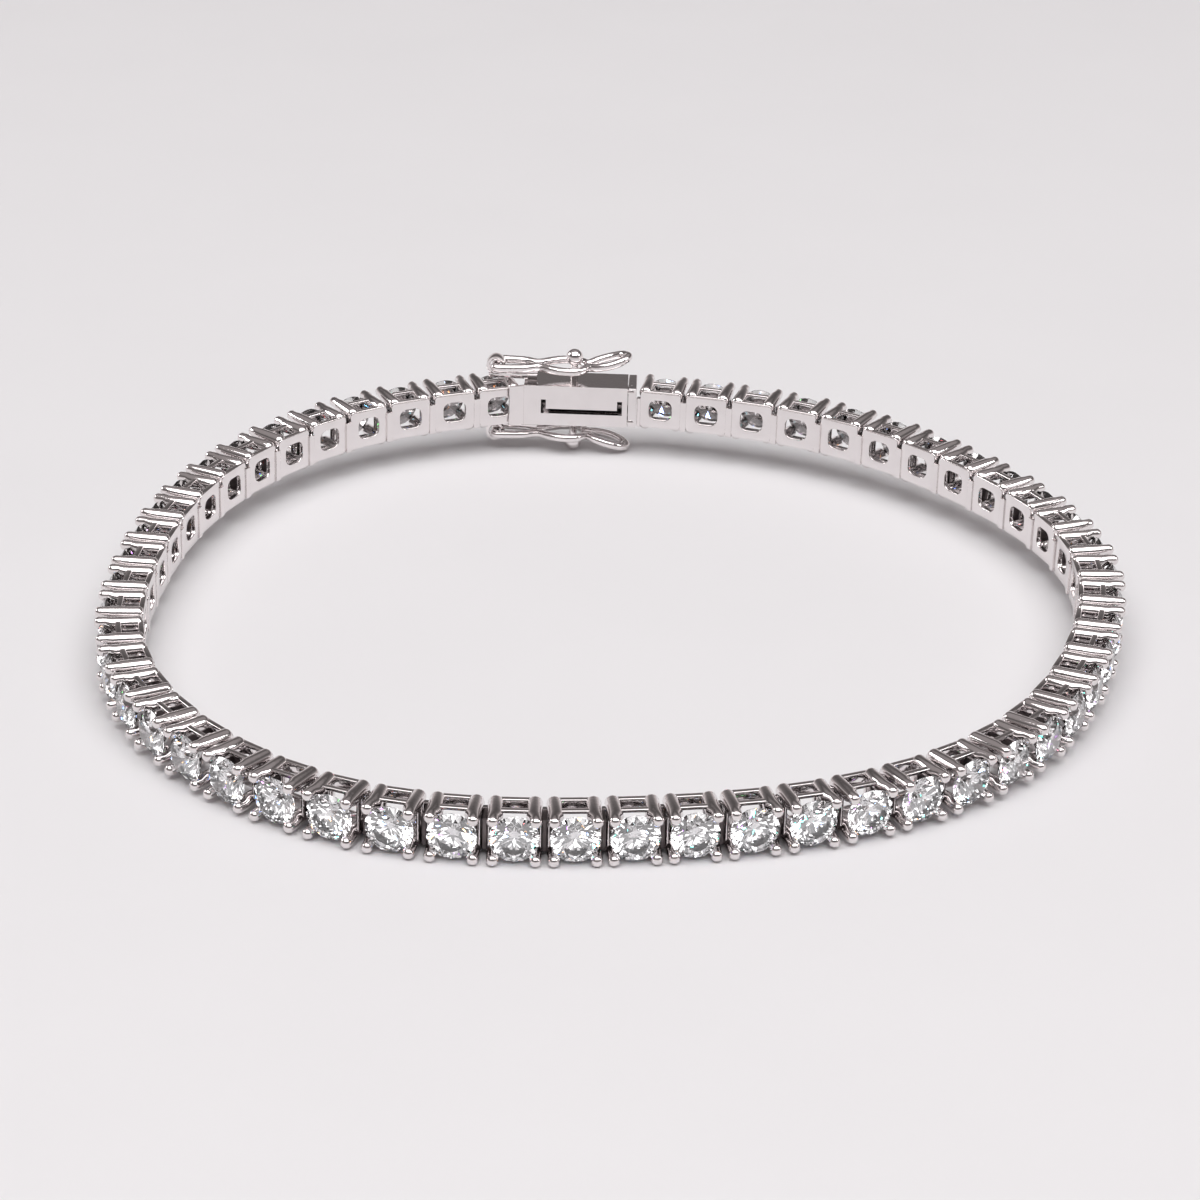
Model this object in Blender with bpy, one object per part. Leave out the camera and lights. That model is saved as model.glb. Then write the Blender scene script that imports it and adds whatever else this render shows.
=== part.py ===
"""Tennis bracelet: 53 four-claw links, each with a round brilliant, closed by a box clasp with two
figure-eight safety latches. It stands on its edge, its stones outwards.

Blender 4.5, metres, +Z up. The clasp lies at the back (+Y) with its length along X, and the middle
of the bounding box stands on the origin. The front links rest on the floor. The back is held up a
little by the ball under the clasp, as the closed bracelet stands by itself.
"""

import math

import bmesh
import bpy
import numpy as np
from mathutils import Matrix, Vector

MM = 0.001

# Chain
PITCH = 3.2 * MM
LINKS = 53
LINKS_RIGHT = 27  # links of the right strand; the left one has the rest
# Where the inner face of the chain runs, seen from above, in pitches. It goes from the right end of the
# clasp round the right side, the front and the left side to the clasp's left end.
ROUTE = [
    (0.21, 8.50), (3.89, 7.60), (6.98, 5.25), (8.85, 1.88), (8.60, -1.91), (6.95, -5.30), (3.90, -7.49),
    (0.20, -8.39), (-3.56, -8.36), (-6.70, -6.67), (-8.68, -3.54), (-8.88, 0.31), (-8.01, 3.90),
    (-5.65, 6.95), (-2.29, 8.50),
]

# One link: X along the chain, Y outwards from its inner face, Z up from its lower edge
LINK_H = 3.13 * MM
LINK_GAP = 0.2 * MM  # notch between two links at the inner face
EDGE = 0.03 * MM  # how far the claws stand in from the plate's edges
CLAW_R = 0.35 * MM  # centre to corner of the five-sided claw
CLAW_REACH = 2.5 * MM  # inner face to claw tips
PLATE_T = 0.45 * MM
TAB_SHARE = 0.5  # share of the height where two plates are joined
TAB_BITE = 0.18 * MM  # how far the joining tab reaches into each plate
TAB_INSET = 0.06 * MM
HOLE_W, HOLE_H, HOLE_CUT = 1.66 * MM, 1.3 * MM, 0.35 * MM
RAIL_Y, RAIL_D, RAIL_T = 1.35 * MM, 0.3 * MM, 0.25 * MM  # gallery rail halfway up the claws

# Stone
STONE_BITE = 0.06 * MM  # how far its girdle sits in each claw
TABLE_SHARE, CROWN_SHARE, PAVILION_SHARE = 0.56, 0.15, 0.43
CLAW_OVER = 0.48 * MM  # claw tips above the girdle

# Clasp: X from the left joint, Y from the links' inner face, Z from the links' upper edge
BOX_H = 2.9 * MM
BOX_IN, BOX_OUT = -0.35 * MM, 2.3 * MM
BOX_WALL = 0.32 * MM
END_GAP = 0.15 * MM  # from the box or the tongue's end piece to what is next to it
END_T = 0.5 * MM  # end piece of the tongue
COVER_L, COVER_T = 1.0 * MM, 0.2 * MM  # thin cover that runs over the last link
SLOT_LEFT, SLOT_RIGHT = 1.35 * MM, 0.42 * MM  # from the box's ends to the legs' middles
SLOT_TOP, SLOT_RUN, SLOT_W = 1.0 * MM, 1.85 * MM, 0.34 * MM
TONGUE_T, TONGUE_GAP = 0.3 * MM, 0.2 * MM
TONGUE_FOLD, TONGUE_SHORT = 0.4 * MM, 1.2 * MM  # fold from the box's end wall; upper leaf shorter by

# Safety latches and what holds them
WIRE_R = 0.29 * MM
LATCH_L, LATCH_W, LATCH_RISE = 9.1 * MM, 1.66 * MM, 0.84 * MM  # wire axis: length, width, lift of its tip
LATCH_Z = 1.02 * MM  # wire axis above the box
AXIS_X = 1.85 * MM  # hinge axis before the left joint
BORE_GAP, BARREL_WALL, BARREL_END = 0.13 * MM, 0.24 * MM, 0.16 * MM
LUG_T, FOOT_L = 0.3 * MM, 0.9 * MM
POST_SHARE, POST_R = 0.593, 0.27 * MM  # post along the latch
BALL_R, BALL_OVER = 0.52 * MM, 0.73 * MM  # ball's centre over the wire axis
# Half of a latch's outline, as shares of its length, of half its width and of its lift
LATCH_HALF = [
    (0.0, 1.0, 0.0), (0.11, 1.0, 0.0), (0.25, 0.86, 0.0), (0.35, 0.5, 0.0), (0.44, 1.02, 0.0), (0.52, 1.36, 0.0),
    (0.605, 1.34, 0.0), (0.67, 0.92, 0.02), (0.715, 0.5, 0.1), (0.78, 0.86, 0.3), (0.87, 1.02, 0.57),
    (0.955, 0.74, 0.86), (1.0, 0.0, 1.0),
]

CLAW_X = PITCH / 2 - LINK_GAP / 2 - EDGE - CLAW_R  # claw axes from the link's middle
CLAW_Z = LINK_H / 2 - EDGE - CLAW_R
STONE_D = 2 * (math.hypot(CLAW_X, CLAW_Z) - CLAW_R * math.cos(math.pi / 5) + STONE_BITE)
GIRDLE_Y = CLAW_REACH - CLAW_OVER
BALL_Z = LATCH_Z + BALL_OVER
BORE_R = WIRE_R + BORE_GAP
BARREL_R = BORE_R + BARREL_WALL
BARREL_L = LATCH_W - 2 * (WIRE_R + BARREL_END)
BACK_LIFT = BALL_Z + BALL_R + BOX_H - LINK_H  # lower edge of the last links above the floor


def new_collection(name, shown=True):
    made = bpy.data.collections.new(name)
    bpy.context.scene.collection.children.link(made)
    made.hide_render = not shown
    return made


def add_object(name, mesh, home):
    obj = bpy.data.objects.new(name, mesh)
    home.objects.link(obj)
    return obj


def as_helper(obj):
    obj.hide_render = True
    obj.display_type = "WIRE"
    return obj


def metal(name, colour, roughness):
    mat = bpy.data.materials.new(name)
    mat.use_nodes = True
    shader = mat.node_tree.nodes["Principled BSDF"]
    shader.inputs["Base Color"].default_value = (*colour, 1)
    shader.inputs["Metallic"].default_value = 1.0
    shader.inputs["Roughness"].default_value = roughness
    return mat


def object_of(bm, name, home):
    mesh = bpy.data.meshes.new(name)
    bm.to_mesh(mesh)
    bm.free()
    return add_object(name, mesh, home)


def block(name, low, high, home, place=None):
    low, high = Vector(low), Vector(high)
    bm = bmesh.new()
    bmesh.ops.create_cube(bm, size=1.0)
    bmesh.ops.scale(bm, vec=high - low, verts=bm.verts)
    bmesh.ops.translate(bm, vec=(low + high) / 2, verts=bm.verts)
    if place is not None:
        bmesh.ops.transform(bm, matrix=place, verts=bm.verts)
    return object_of(bm, name, home)


def rod(name, start, end, radius, home, sides):
    start, end = Vector(start), Vector(end)
    along = end - start
    bm = bmesh.new()
    bmesh.ops.create_cone(
        bm, cap_ends=True, segments=sides, radius1=radius, radius2=radius, depth=along.length,
    )
    place = Matrix.Translation((start + end) / 2) @ along.to_track_quat("Z", "Y").to_matrix().to_4x4()
    bmesh.ops.transform(bm, matrix=place, verts=bm.verts)
    return object_of(bm, name, home)


def ball(name, centre, radius, home):
    bm = bmesh.new()
    bmesh.ops.create_uvsphere(bm, u_segments=10, v_segments=6, radius=radius)
    bmesh.ops.translate(bm, vec=centre, verts=bm.verts)
    return object_of(bm, name, home)


def mesh_of_curve(obj, name, home):
    """The curve as a mesh object with its caps welded. The curve goes."""
    bpy.context.view_layer.update()
    graph = bpy.context.evaluated_depsgraph_get()
    mesh = bpy.data.meshes.new_from_object(obj.evaluated_get(graph))
    bm = bmesh.new()
    bm.from_mesh(mesh)
    bmesh.ops.remove_doubles(bm, verts=bm.verts, dist=1e-6)
    bm.to_mesh(mesh)
    bm.free()
    made = add_object(name, mesh, home)
    made.matrix_world = obj.matrix_world.copy()
    bpy.data.objects.remove(obj)
    return made


def flat_shape(name, outlines, thickness, place, home):
    """Plate with the given outlines, later ones being its holes. place takes it from the XY plane."""
    curve = bpy.data.curves.new(name + "_outline", "CURVE")
    curve.dimensions = "2D"
    curve.fill_mode = "BOTH"
    curve.extrude = thickness / 2
    for outline in outlines:
        spline = curve.splines.new("POLY")
        spline.points.add(len(outline) - 1)
        for point, (x, y) in zip(spline.points, outline):
            point.co = (x, y, 0, 1)
        spline.use_cyclic_u = True
    obj = add_object(name + "_outline", curve, home)
    obj.matrix_world = place
    return mesh_of_curve(obj, name, home)


def closed_wire(name, points, radius, home):
    curve = bpy.data.curves.new(name + "_path", "CURVE")
    curve.dimensions = "3D"
    curve.bevel_depth = radius
    curve.bevel_resolution = 1
    spline = curve.splines.new("POLY")
    spline.points.add(len(points) - 1)
    for point, co in zip(spline.points, points):
        point.co = (*co, 1)
    spline.use_cyclic_u = True
    return mesh_of_curve(add_object(name + "_path", curve, home), name, home)


def helpers_of(obj, operation, pieces):
    """Adds one Boolean that takes all the pieces, which follow the object and stay out of sight."""
    home = new_collection(f"{obj.name}_{operation.lower()}", shown=False)
    for piece in pieces:
        for old in list(piece.users_collection):
            old.objects.unlink(piece)
        home.objects.link(as_helper(piece))
        piece.parent = obj
        piece.matrix_parent_inverse = obj.matrix_world.inverted()
    modifier = obj.modifiers.new(operation.title(), "BOOLEAN")
    modifier.operation = operation
    modifier.operand_type = "COLLECTION"
    modifier.collection = home
    modifier.solver = "EXACT"


def evaluated_mesh(obj, name):
    bpy.context.view_layer.update()
    graph = bpy.context.evaluated_depsgraph_get()
    mesh = bpy.data.meshes.new_from_object(obj.evaluated_get(graph))
    mesh.transform(obj.matrix_world)
    mesh.name = name
    return mesh


def smooth_route():
    """Fine points along a natural cubic spline through the route, in pitches, and the run to each."""
    points = np.array(ROUTE, float)
    count = len(points)
    system = np.eye(count)
    right = np.zeros_like(points)
    for i in range(1, count - 1):
        system[i, i - 1 : i + 2] = (1, 4, 1)
        right[i] = 6 * (points[i - 1] - 2 * points[i] + points[i + 1])
    bend = np.linalg.solve(system, right)
    place = np.linspace(0, count - 1 - 1e-9, 4001)
    i = place.astype(int)
    t = (place - i)[:, None]
    fine = (1 - t) * points[i] + t * points[i + 1]
    fine += ((1 - t) ** 3 - (1 - t)) * bend[i] / 6 + (t**3 - t) * bend[i + 1] / 6
    run = np.concatenate([[0], np.cumsum(np.linalg.norm(np.diff(fine, axis=0), axis=1))])
    return fine, run


def chain_joints():
    """Points on the chain's inner face where one link ends and the next begins."""
    fine, run = smooth_route()
    steps = np.linspace(0, run[-1], LINKS + 1)
    joints = np.column_stack([np.interp(steps, run, fine[:, i]) for i in range(2)])
    return joints * LINKS * PITCH / run[-1]


def lift_at(y, joints):
    front, back = joints[:, 1].min(), joints[:, 1].max()
    return BACK_LIFT * (y - front) / (back - front)


def placed(point, along, joints):
    """Matrix at a point of the route: X along the chain, Y outwards, Z up from the links' lower edge."""
    along = np.array(along) / np.linalg.norm(along)
    place = Matrix.Identity(4)
    place.col[0] = (*along, 0, 0)
    place.col[1] = (-along[1], along[0], 0, 0)
    place.col[3] = (*point, lift_at(point[1], joints), 1)
    return place


def make_stone(home):
    """Eight-sided brilliant, its table facing out (+Y)."""
    crown = STONE_D * CROWN_SHARE
    bm = bmesh.new()
    bmesh.ops.create_cone(
        bm, cap_ends=True, segments=8, radius1=STONE_D / 2, radius2=STONE_D * TABLE_SHARE / 2, depth=crown,
    )
    under = min(bm.faces, key=lambda face: face.calc_center_median().z)
    culet = bmesh.ops.poke(bm, faces=[under])["verts"][0]
    culet.co.z -= STONE_D * PAVILION_SHARE
    place = Matrix.Translation((0, GIRDLE_Y + crown / 2, LINK_H / 2)) @ Matrix.Rotation(-math.pi / 2, 4, "X")
    bmesh.ops.transform(bm, matrix=place, verts=bm.verts)
    return object_of(bm, "stone", home)


def make_claw(side_x, side_z, home):
    """Five-sided claw in one corner of the link. One of its sides faces the stone and holds its girdle."""
    x, z = side_x * CLAW_X, side_z * CLAW_Z
    depth = CLAW_REACH - PLATE_T / 2
    bm = bmesh.new()
    bmesh.ops.create_cone(bm, cap_ends=True, segments=5, radius1=CLAW_R, radius2=CLAW_R, depth=depth)
    place = Matrix.Translation((x, PLATE_T / 2 + depth / 2, LINK_H / 2 + z)) @ Matrix.Rotation(-math.pi / 2, 4, "X")
    turn = math.atan2(z, -x) + math.pi / 2
    bmesh.ops.transform(bm, matrix=place @ Matrix.Rotation(turn, 4, "Z"), verts=bm.verts)
    return object_of(bm, "claw", home)


def make_link(work):
    """One whole link: plate with its opening, four claws, two rails and the stone, joined to one solid."""
    x, z = PITCH / 2 - LINK_GAP / 2, LINK_H / 2
    w, h, cut = HOLE_W / 2, HOLE_H / 2, HOLE_CUT
    outline = [(-x, -z), (x, -z), (x, z), (-x, z)]
    hole = [
        (w - cut, -h), (w, -h + cut), (w, h - cut), (w - cut, h),
        (-w + cut, h), (-w, h - cut), (-w, -h + cut), (-w + cut, -h),
    ]
    upright = Matrix.Translation((0, PLATE_T / 2, z)) @ Matrix.Rotation(math.pi / 2, 4, "X")
    plate = flat_shape("link_plate", [outline, hole], PLATE_T, upright, work)
    pieces = [make_stone(work)]
    pieces += [make_claw(side_x, side_z, work) for side_x in (-1, 1) for side_z in (-1, 1)]
    for side in (-1, 1):
        z = LINK_H / 2 + side * (CLAW_Z + CLAW_R * 0.27)
        pieces.append(block(
            "rail", (-CLAW_X, RAIL_Y - RAIL_D / 2, z - RAIL_T / 2), (CLAW_X, RAIL_Y + RAIL_D / 2, z + RAIL_T / 2), work,
        ))
    helpers_of(plate, "UNION", pieces)
    as_helper(plate)
    return evaluated_mesh(plate, "link")


def make_strand(name, link_mesh, places, joints, shown, look):
    """Links joined to one solid by a tab at each joint between them."""
    strand = add_object(name, link_mesh.copy(), shown)
    strand.data.transform(places[0])
    pieces = []
    for place in places[1:]:
        mesh = link_mesh.copy()
        mesh.transform(place)
        pieces.append(add_object(name + "_link", mesh, shown))
    half, tall = LINK_GAP / 2 + TAB_BITE, LINK_H * TAB_SHARE / 2
    for before, after in zip(places, places[1:]):
        middle = (before.translation + after.translation) / 2
        along = before.col[0].xyz + after.col[0].xyz
        place = placed(middle.xy, along.xy, joints)
        pieces.append(block(
            name + "_tab", (-half, TAB_INSET, LINK_H / 2 - tall), (half, PLATE_T - TAB_INSET, LINK_H / 2 + tall),
            shown, place,
        ))
    helpers_of(strand, "UNION", pieces)
    strand.data.materials.append(look)
    return strand


def make_box(top, length, last_link, shown, look):
    """Hollow clasp box with its cover over the last link, U slot, two ball posts and two hinge lugs."""
    left, right = END_GAP, length - END_T - 2 * END_GAP
    middle = (BOX_IN + BOX_OUT) / 2
    box = block("clasp_box", (left, BOX_IN, -BOX_H), (right, BOX_OUT, 0), shown)
    end = PITCH / 2 + END_GAP + BOX_WALL
    pieces = [block(
        "cover", (PITCH / 2 - COVER_L, BOX_IN, LINK_H - BOX_H), (end, BOX_IN + COVER_T, LINK_H),
        shown, top.inverted() @ last_link,
    )]
    cutters = [block(
        "cavity", (left + BOX_WALL, BOX_IN + BOX_WALL, -BOX_H + BOX_WALL),
        (right + BOX_WALL, BOX_OUT - BOX_WALL, -BOX_WALL), shown,
    )]
    post_x = POST_SHARE * LATCH_L - AXIS_X
    for name, side, level in (("upper", 1, 0), ("lower", -1, -BOX_H)):
        def span(low, high):
            return sorted((level + side * low, level + side * high))

        z = level + side * LATCH_Z
        root, ball_z = level - side * BOX_WALL / 2, level + side * BALL_Z
        pieces.append(rod(name + "_post", (post_x, middle, root), (post_x, middle, ball_z), POST_R, shown, 8))
        pieces.append(ball(name + "_ball", (post_x, middle, ball_z), BALL_R, shown))
        pieces.append(rod(
            name + "_barrel", (-AXIS_X, middle - BARREL_L / 2, z), (-AXIS_X, middle + BARREL_L / 2, z),
            BARREL_R, shown, 10,
        ))
        wide = BARREL_L / 2 - TAB_INSET
        under = LATCH_Z - BARREL_R * 0.94
        low, high = span(under, under + LUG_T)
        pieces.append(block(
            name + "_lug", (-AXIS_X, middle - wide, low), (left + FOOT_L, middle + wide, high), shown,
        ))
        low, high = span(-BOX_WALL / 2, under + LUG_T / 2)
        wide -= TAB_INSET
        pieces.append(block(
            name + "_foot", (left + TAB_INSET, middle - wide, low), (left + FOOT_L - TAB_INSET, middle + wide, high), shown,
        ))
        cutters.append(rod(
            name + "_bore", (-AXIS_X, middle - BARREL_L, z), (-AXIS_X, middle + BARREL_L, z), BORE_R, shown, 10,
        ))
    helpers_of(box, "UNION", pieces)

    x0, x1, w = left + SLOT_LEFT, right - SLOT_RIGHT, SLOT_W / 2
    outline = [
        (x0 - w, -SLOT_TOP), (x0 - w, -SLOT_RUN - w), (x1 + w, -SLOT_RUN - w), (x1 + w, -SLOT_TOP),
        (x1 - w, -SLOT_TOP), (x1 - w, -SLOT_RUN + w), (x0 + w, -SLOT_RUN + w), (x0 + w, -SLOT_TOP),
    ]
    upright = Matrix.Translation((0, BOX_IN, 0)) @ Matrix.Rotation(math.pi / 2, 4, "X")
    cutters.append(flat_shape("slot", [outline], BOX_WALL * 3, upright, shown))
    helpers_of(box, "DIFFERENCE", cutters)
    box.data.materials.append(look)
    box.matrix_world = top
    return box


def make_tongue(top, length, shown, look):
    """Folded spring leaf inside the box, on an end piece that closes the box's mouth."""
    wall = BOX_WALL + TONGUE_GAP
    y0, y1 = BOX_IN + wall, BOX_OUT - wall
    low, high, t = -BOX_H + wall, -wall, TONGUE_T
    fold, end = END_GAP + BOX_WALL + TONGUE_FOLD, length - END_T - END_GAP
    tongue = block("clasp_tongue", (end, BOX_IN, -BOX_H), (length - END_GAP, BOX_OUT, 0), shown)
    over = t / 2
    pieces = [
        block("lower_leaf", (fold, y0, low), (end + over, y1, low + t), shown),
        block("fold", (fold - over, y0 + TAB_INSET, low + over), (fold + over, y1 - TAB_INSET, high - over), shown),
        block("upper_leaf", (fold, y0, high - t), (end - TONGUE_SHORT, y1, high), shown),
    ]
    helpers_of(tongue, "UNION", pieces)
    tongue.data.materials.append(look)
    tongue.matrix_world = top
    return tongue


def make_latch(name, axis, side, shown, look):
    """Closed figure-eight wire on its hinge axis; side is 1 for the upper one, -1 for the lower."""
    half = [(x * LATCH_L, y * LATCH_W / 2, side * z * LATCH_RISE) for x, y, z in LATCH_HALF]
    latch = closed_wire(name, half + [(x, -y, z) for x, y, z in reversed(half[:-1])], WIRE_R, shown)
    for face in latch.data.polygons:
        face.use_smooth = True
    latch.data.materials.append(look)
    latch.parent = axis
    return latch


def main():
    for obj in list(bpy.data.objects):
        bpy.data.objects.remove(obj, do_unlink=True)
    shown = new_collection("tennis_bracelet")
    work = new_collection("helpers", shown=False)
    white_metal = metal("white_metal", (0.84, 0.83, 0.84), 0.12)
    spring_metal = metal("spring_metal", (0.78, 0.77, 0.77), 0.2)

    joints = chain_joints()
    places = [placed((a + b) / 2, b - a, joints) for a, b in zip(joints, joints[1:])]
    link_mesh = make_link(work)
    solids = [
        make_strand("strand_right", link_mesh, places[:LINKS_RIGHT], joints, shown, white_metal),
        make_strand("strand_left", link_mesh, places[LINKS_RIGHT:], joints, shown, white_metal),
    ]

    left, right = Vector(joints[-1]), Vector(joints[0])
    length = (right - left).length
    top = placed(left, right - left, joints) @ Matrix.Translation((0, 0, LINK_H))
    solids.append(make_box(top, length, places[-1], shown, white_metal))
    solids.append(make_tongue(top, length, shown, spring_metal))
    for name, side, level in (("latch_upper", 1, LATCH_Z), ("latch_lower", -1, -BOX_H - LATCH_Z)):
        axis = bpy.data.objects.new(name + "_axis", None)
        shown.objects.link(axis)
        axis.matrix_world = top @ Matrix.Translation((-AXIS_X, (BOX_IN + BOX_OUT) / 2, level))
        solids.append(make_latch(name, axis, side, shown, white_metal))

    # The origin goes under the middle of the whole.
    bpy.context.view_layer.update()
    graph = bpy.context.evaluated_depsgraph_get()
    low, high = np.full(3, np.inf), np.full(3, -np.inf)
    for obj in solids:
        evaluated = obj.evaluated_get(graph)
        corners = np.array([evaluated.matrix_world @ v.co for v in evaluated.data.vertices])
        low, high = np.minimum(low, corners.min(axis=0)), np.maximum(high, corners.max(axis=0))
    shift = Matrix.Translation((-(low[0] + high[0]) / 2, -(low[1] + high[1]) / 2, -low[2]))
    for obj in bpy.data.objects:
        if obj.parent is None:
            obj.matrix_world = shift @ obj.matrix_world
    hinge = (shift @ top @ Matrix.Translation((-AXIS_X, (BOX_IN + BOX_OUT) / 2, LATCH_Z))).translation
    print("size in mm", [round(float(side) / MM, 2) for side in high - low])
    print("upper hinge in mm", [round(side / MM, 3) for side in hinge], "clasp length", round(length / MM, 3))


main()
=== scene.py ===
# %% [markdown]
# # A line bracelet of small diamonds
# Fifty-three small settings, each with a round brilliant, are joined into a flexible row. A box clasp
# closes the row at the back, and two figure-eight safety catches snap over little balls on the clasp.
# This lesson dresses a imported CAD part: the sizes and places are given, and what is made here are the
# rounded, polished pieces and their finishes.

import math

import bpy
import numpy as np
from mathutils import Matrix, Vector


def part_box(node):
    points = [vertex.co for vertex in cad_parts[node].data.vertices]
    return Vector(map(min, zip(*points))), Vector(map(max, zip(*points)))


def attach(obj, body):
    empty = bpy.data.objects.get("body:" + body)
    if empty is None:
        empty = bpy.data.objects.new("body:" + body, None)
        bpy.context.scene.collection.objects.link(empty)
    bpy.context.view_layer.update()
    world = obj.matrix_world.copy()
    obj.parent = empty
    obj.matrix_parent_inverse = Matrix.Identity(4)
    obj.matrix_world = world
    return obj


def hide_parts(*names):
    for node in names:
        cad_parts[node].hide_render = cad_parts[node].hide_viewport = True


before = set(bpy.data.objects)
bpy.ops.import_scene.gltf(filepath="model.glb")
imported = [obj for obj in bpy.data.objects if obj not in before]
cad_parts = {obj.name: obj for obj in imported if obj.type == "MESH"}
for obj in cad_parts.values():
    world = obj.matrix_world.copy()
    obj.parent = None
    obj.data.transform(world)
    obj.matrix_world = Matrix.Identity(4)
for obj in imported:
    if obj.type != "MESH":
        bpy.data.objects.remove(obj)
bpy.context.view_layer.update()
MM = 0.001

# %% [markdown]
# ## The bench tools
# Every piece is shaped as by hand: a primitive is added, then extruded, bridged, cut or bevelled, and the
# modifiers are applied. A few helpers keep that readable. They deselect everything first, because an
# operator acts on all that is selected.


# %% helpers for shaping
def only(obj):
    """Makes obj the one selected and active object."""
    if bpy.context.mode != "OBJECT":
        bpy.ops.object.mode_set(mode="OBJECT")
    bpy.ops.object.select_all(action="DESELECT")
    obj.select_set(True)
    bpy.context.view_layer.objects.active = obj
    return obj


def edit(obj, mode="FACE"):
    """Opens obj in edit mode with nothing selected."""
    only(obj)
    bpy.ops.object.mode_set(mode="EDIT")
    bpy.ops.mesh.select_mode(type=mode)
    bpy.ops.mesh.select_all(action="DESELECT")


def done():
    """Back to object mode."""
    bpy.ops.object.mode_set(mode="OBJECT")


def edit_again():
    """Back to edit mode with what was picked in object mode."""
    bpy.ops.object.mode_set(mode="EDIT")
    bpy.ops.mesh.select_mode(type="FACE")


def bake_place(obj):
    """Puts the object's place, turn and scale into its mesh."""
    only(obj)
    bpy.ops.object.transform_apply(location=True, rotation=True, scale=True)
    return obj


def apply_all(obj):
    """Applies the object's modifiers, the first one first."""
    only(obj)
    for modifier in list(obj.modifiers):
        bpy.ops.object.modifier_apply(modifier=modifier.name)
    return obj


def rounded(obj, width, segments=2, angle=35):
    """Softens the sharp edges, as polishing does."""
    only(obj)
    modifier = obj.modifiers.new("soft_edges", "BEVEL")
    modifier.width = width
    modifier.segments = segments
    modifier.limit_method = "ANGLE"
    modifier.angle_limit = math.radians(angle)
    modifier.harden_normals = False
    return apply_all(obj)


def smooth(obj, angle=40):
    """Smooth shading that keeps the large faces flat, as a polished flat is."""
    only(obj)
    bpy.ops.object.shade_smooth_by_angle(angle=math.radians(angle))
    modifier = obj.modifiers.new("flat_faces", "WEIGHTED_NORMAL")
    modifier.keep_sharp = True
    modifier.weight = 80
    return apply_all(obj)


def outwards(obj):
    """Merges doubles and turns every face outwards."""
    edit(obj)
    bpy.ops.mesh.select_all(action="SELECT")
    bpy.ops.mesh.remove_doubles(threshold=1e-7)
    bpy.ops.mesh.normals_make_consistent(inside=False)
    done()
    return obj


def joined(name, pieces):
    """Joins the pieces to one object with the given name."""
    only(pieces[0])
    for piece in pieces[1:]:
        piece.select_set(True)
    bpy.ops.object.join()
    made = bpy.context.view_layer.objects.active
    made.name = made.data.name = name
    return made


def copied(obj, matrix, name):
    """A copy of obj with a mesh of its own, moved by the matrix."""
    made = bpy.data.objects.new(name, obj.data.copy())
    bpy.context.scene.collection.objects.link(made)
    made.data.transform(matrix)
    return made


def slab(name, low, high, soft=0.0, segments=2):
    """A block between two corners, its edges rounded by soft."""
    low, high = Vector(low), Vector(high)
    bpy.ops.mesh.primitive_cube_add(size=1, location=(low + high) / 2, scale=high - low)
    made = bpy.context.object
    made.name = name
    bake_place(made)
    return rounded(made, soft, segments) if soft else made


def rod(name, start, end, radius, sides):
    """A round bar from start to end."""
    start, end = Vector(start), Vector(end)
    along = end - start
    bpy.ops.mesh.primitive_cylinder_add(
        vertices=sides, radius=radius, depth=along.length, location=(start + end) / 2,
        rotation=along.to_track_quat("Z", "Y").to_euler(),
    )
    made = bpy.context.object
    made.name = name
    return bake_place(made)


print("bench tools ready")

# %% [markdown]
# ## Where each link sits
# The row lies in a slightly uneven loop. A smooth spline through a few points gives the loop, and equal
# steps along it give the joints. The row leans by two degrees, because the ball under the clasp props up
# the back.

# %% the route of the row
PITCH, LINKS, LINKS_RIGHT = 3.2 * MM, 53, 27
LINK_H, BACK_LIFT = 3.13 * MM, 2.04 * MM
ROUTE = [  # in pitches, from the right end of the clasp round the front to its left end
    (0.21, 8.50), (3.89, 7.60), (6.98, 5.25), (8.85, 1.88), (8.60, -1.91), (6.95, -5.30), (3.90, -7.49),
    (0.20, -8.39), (-3.56, -8.36), (-6.70, -6.67), (-8.68, -3.54), (-8.88, 0.31), (-8.01, 3.90),
    (-5.65, 6.95), (-2.29, 8.50),
]
SPLINE_STEPS = 4001
# The clasp's box from the links' inner face, its height, and the gap to what is next to it
BOX_IN, BOX_OUT, BOX_H, END_GAP = -0.35 * MM, 2.3 * MM, 2.9 * MM, 0.15 * MM


def route_joints():
    """The joints between the links, in equal steps along a natural spline through the route."""
    points = np.array(ROUTE, float)
    count = len(points)
    system, right = np.eye(count), np.zeros_like(points)
    for i in range(1, count - 1):
        system[i, i - 1 : i + 2] = (1, 4, 1)
        right[i] = 6 * (points[i - 1] - 2 * points[i] + points[i + 1])
    bend = np.linalg.solve(system, right)
    place = np.linspace(0, count - 1 - 1e-9, SPLINE_STEPS)
    i = place.astype(int)
    t = (place - i)[:, None]
    fine = (1 - t) * points[i] + t * points[i + 1]
    fine += ((1 - t) ** 3 - (1 - t)) * bend[i] / 6 + (t**3 - t) * bend[i + 1] / 6
    run = np.concatenate([[0], np.cumsum(np.linalg.norm(np.diff(fine, axis=0), axis=1))])
    steps = np.linspace(0, run[-1], LINKS + 1)
    joints = np.column_stack([np.interp(steps, run, fine[:, k]) for k in range(2)])
    return joints * LINKS * PITCH / run[-1]


joints = route_joints()
tongue_low, tongue_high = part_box("clasp_tongue")
joints += (tongue_high.x + END_GAP - joints[0][0], tongue_low.y - BOX_IN - joints[0][1])


def lift_at(y):
    """How high the links' lower edge stands: on the table at the front, lifted at the back."""
    front, back = joints[:, 1].min(), joints[:, 1].max()
    return BACK_LIFT * (y - front) / (back - front)


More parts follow.
